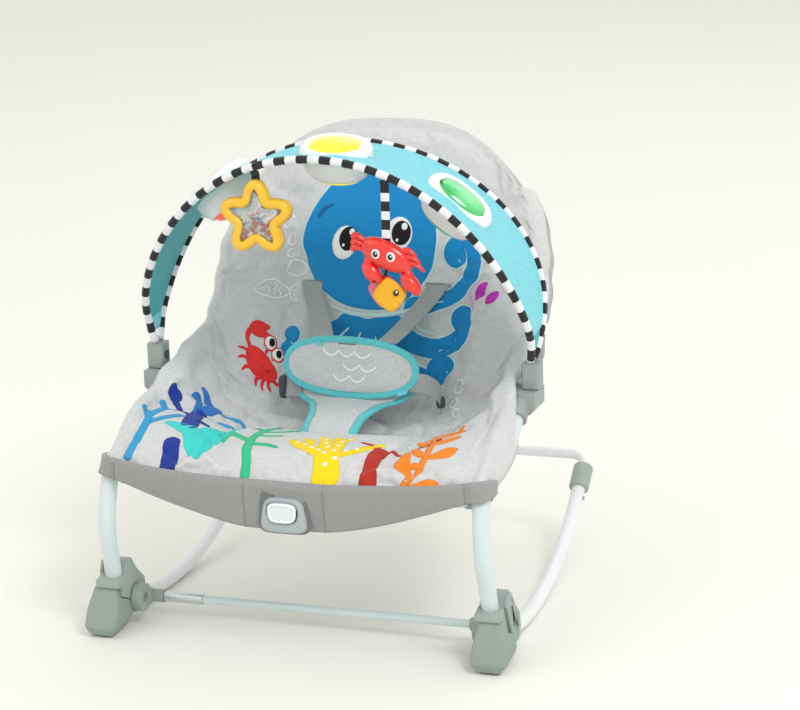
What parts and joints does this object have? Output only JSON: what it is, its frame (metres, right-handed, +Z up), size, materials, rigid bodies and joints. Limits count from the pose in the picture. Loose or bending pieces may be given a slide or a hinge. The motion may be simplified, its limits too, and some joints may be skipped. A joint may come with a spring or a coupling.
{
  "type": "baby bouncer seat",
  "caption": "Low rocking baby seat on bent tube runners, with a padded sling seat and reclining back, a removable arched toy bar and hanging toys.",
  "frame": {"origin": "the point of the floor under the middle of the whole seat, halfway between the toes of the front feet and the back of the rear bar", "axes": "+Z up from the floor, +Y from the front feet towards the rear bar, +X across the seat towards the seated baby's left side"},
  "size_m": [0.49, 0.4714, 0.5433],
  "materials": {
    "fabric_grey": "woven",
    "fabric_skirt": "woven",
    "fabric_pad": "woven",
    "fabric_teal": "woven",
    "webbing": "webbing",
    "striped_cord": "striped piping",
    "leg_paint": "satin",
    "tube_white": "satin",
    "wire_paint": "satin",
    "grey_green": "moulded",
    "soft_grip": "soft moulded",
    "case_blue": "moulded",
    "white_plastic": "moulded",
    "screw_steel": "plated",
    "plated_steel": "plated",
    "cell_can": "cell jacket",
    "board_green": "lacquered",
    "dark_plastic": "moulded",
    "lens_red": "translucent",
    "lens_yellow": "translucent",
    "lens_green": "translucent",
    "toy_yellow": "moulded",
    "toy_clear": "clear",
    "toy_red": "moulded",
    "teether_soft": "soft moulded",
    "strap_striped": "striped tape"
  },
  "bodies": {
    "base": {"foot_housing_left": "grey_green", "foot_housing_right": "grey_green", "soft_foot_left": "soft_grip", "soft_foot_right": "soft_grip", "leg_tube_left": "leg_paint", "leg_tube_right": "leg_paint", "rocker_tube_left": "tube_white", "rocker_tube_right": "tube_white", "recline_hub_left": "grey_green", "recline_hub_right": "grey_green", "foot_covers": "grey_green", "foot_screws": "screw_steel", "rear_bar": "tube_white", "rear_sleeves": "grey_green", "snap_buttons": "plated_steel", "kickstand_pins": "screw_steel", "recline_pins": "screw_steel", "seat_bow": "wire_paint", "bow_brackets": "grey_green", "vibration_case": "case_blue", "vibration_lid": "case_blue", "lid_screws": "screw_steel", "circuit_board": "board_green", "battery_cell": "cell_can", "motor": "plated_steel", "seat_cushion": "fabric_grey", "seat_skirt": "fabric_skirt", "waist_pad": "fabric_pad", "crotch_strap": "fabric_pad", "waist_straps": "webbing", "buckles": "dark_plastic"},
    "kickstand": {"kickstand_hubs": "grey_green", "crossbar": "wire_paint", "crossbar_channel": "plated_steel"},
    "backrest": {"recline_arm_left": "grey_green", "recline_arm_right": "grey_green", "back_tube": "tube_white", "back_cushion": "fabric_grey", "shoulder_straps": "webbing"},
    "toy_bar": {"toy_bar_end_left": "grey_green", "toy_bar_end_right": "grey_green", "front_hoop": "striped_cord", "rear_hoop": "striped_cord", "toy_bar_band": "fabric_teal", "light_housings": "white_plastic", "lens_left": "lens_red", "lens_middle": "lens_yellow", "lens_right": "lens_green", "light_boards": "board_green", "speaker": "dark_plastic"},
    "release_left": {"release_button_left": "dark_plastic"},
    "release_right": {"release_button_right": "dark_plastic"},
    "mode_button": {"vibration_button": "white_plastic"},
    "shaker": {"motor_weight": "screw_steel"},
    "star_toy": {"star_strap": "strap_striped", "star_ring": "toy_yellow", "star_window": "toy_clear"},
    "crab_toy": {"crab_strap": "strap_striped", "crab": "toy_red"},
    "teether_toy": {"teether": "teether_soft"}
  },
  "joints": [
    {"name": "kickstand_fold", "type": "hinge", "parent": "base", "child": "kickstand", "pos_m": [0, -0.17317, 0.03075], "axis": [1, 0, 0], "range_deg": [-95, 0]},
    {"name": "backrest_recline", "type": "hinge", "parent": "base", "child": "backrest", "pos_m": [0, -0.03818, 0.254], "axis": [-1, 0, 0], "range_deg": [0, 18]},
    {"name": "toy_bar_lift", "type": "slide", "parent": "base", "child": "toy_bar", "axis": [0, 0, 1], "range_m": [0, 0.04]},
    {"name": "release_left_press", "type": "slide", "parent": "toy_bar", "child": "release_left", "axis": [-1, 0, 0], "range_m": [0, 0.0018], "stiffness_N_per_m": 400, "springref_m": -0.001},
    {"name": "release_right_press", "type": "slide", "parent": "toy_bar", "child": "release_right", "axis": [1, 0, 0], "range_m": [0, 0.0018], "stiffness_N_per_m": 400, "springref_m": -0.001},
    {"name": "mode_button_press", "type": "slide", "parent": "base", "child": "mode_button", "axis": [0, 1, 0], "range_m": [0, 0.002], "stiffness_N_per_m": 500, "springref_m": -0.001},
    {"name": "shaker_spin", "type": "hinge", "parent": "base", "child": "shaker", "pos_m": [0, -0.19387, 0.1565], "axis": [1, 0, 0], "continuous": true},
    {"name": "star_swing", "type": "hinge", "parent": "toy_bar", "child": "star_toy", "pos_m": [-0.065, -0.10871, 0.51767], "axis": [1, 0, 0], "range_deg": [-35, 35]},
    {"name": "crab_swing", "type": "hinge", "parent": "toy_bar", "child": "crab_toy", "pos_m": [0.084, -0.10773, 0.51125], "axis": [1, 0, 0], "range_deg": [-35, 35]},
    {"name": "teether_swing", "type": "hinge", "parent": "crab_toy", "child": "teether_toy", "pos_m": [0.084, -0.10773, 0.40125], "axis": [1, 0, 0], "range_deg": [-30, 30]}
  ]
}
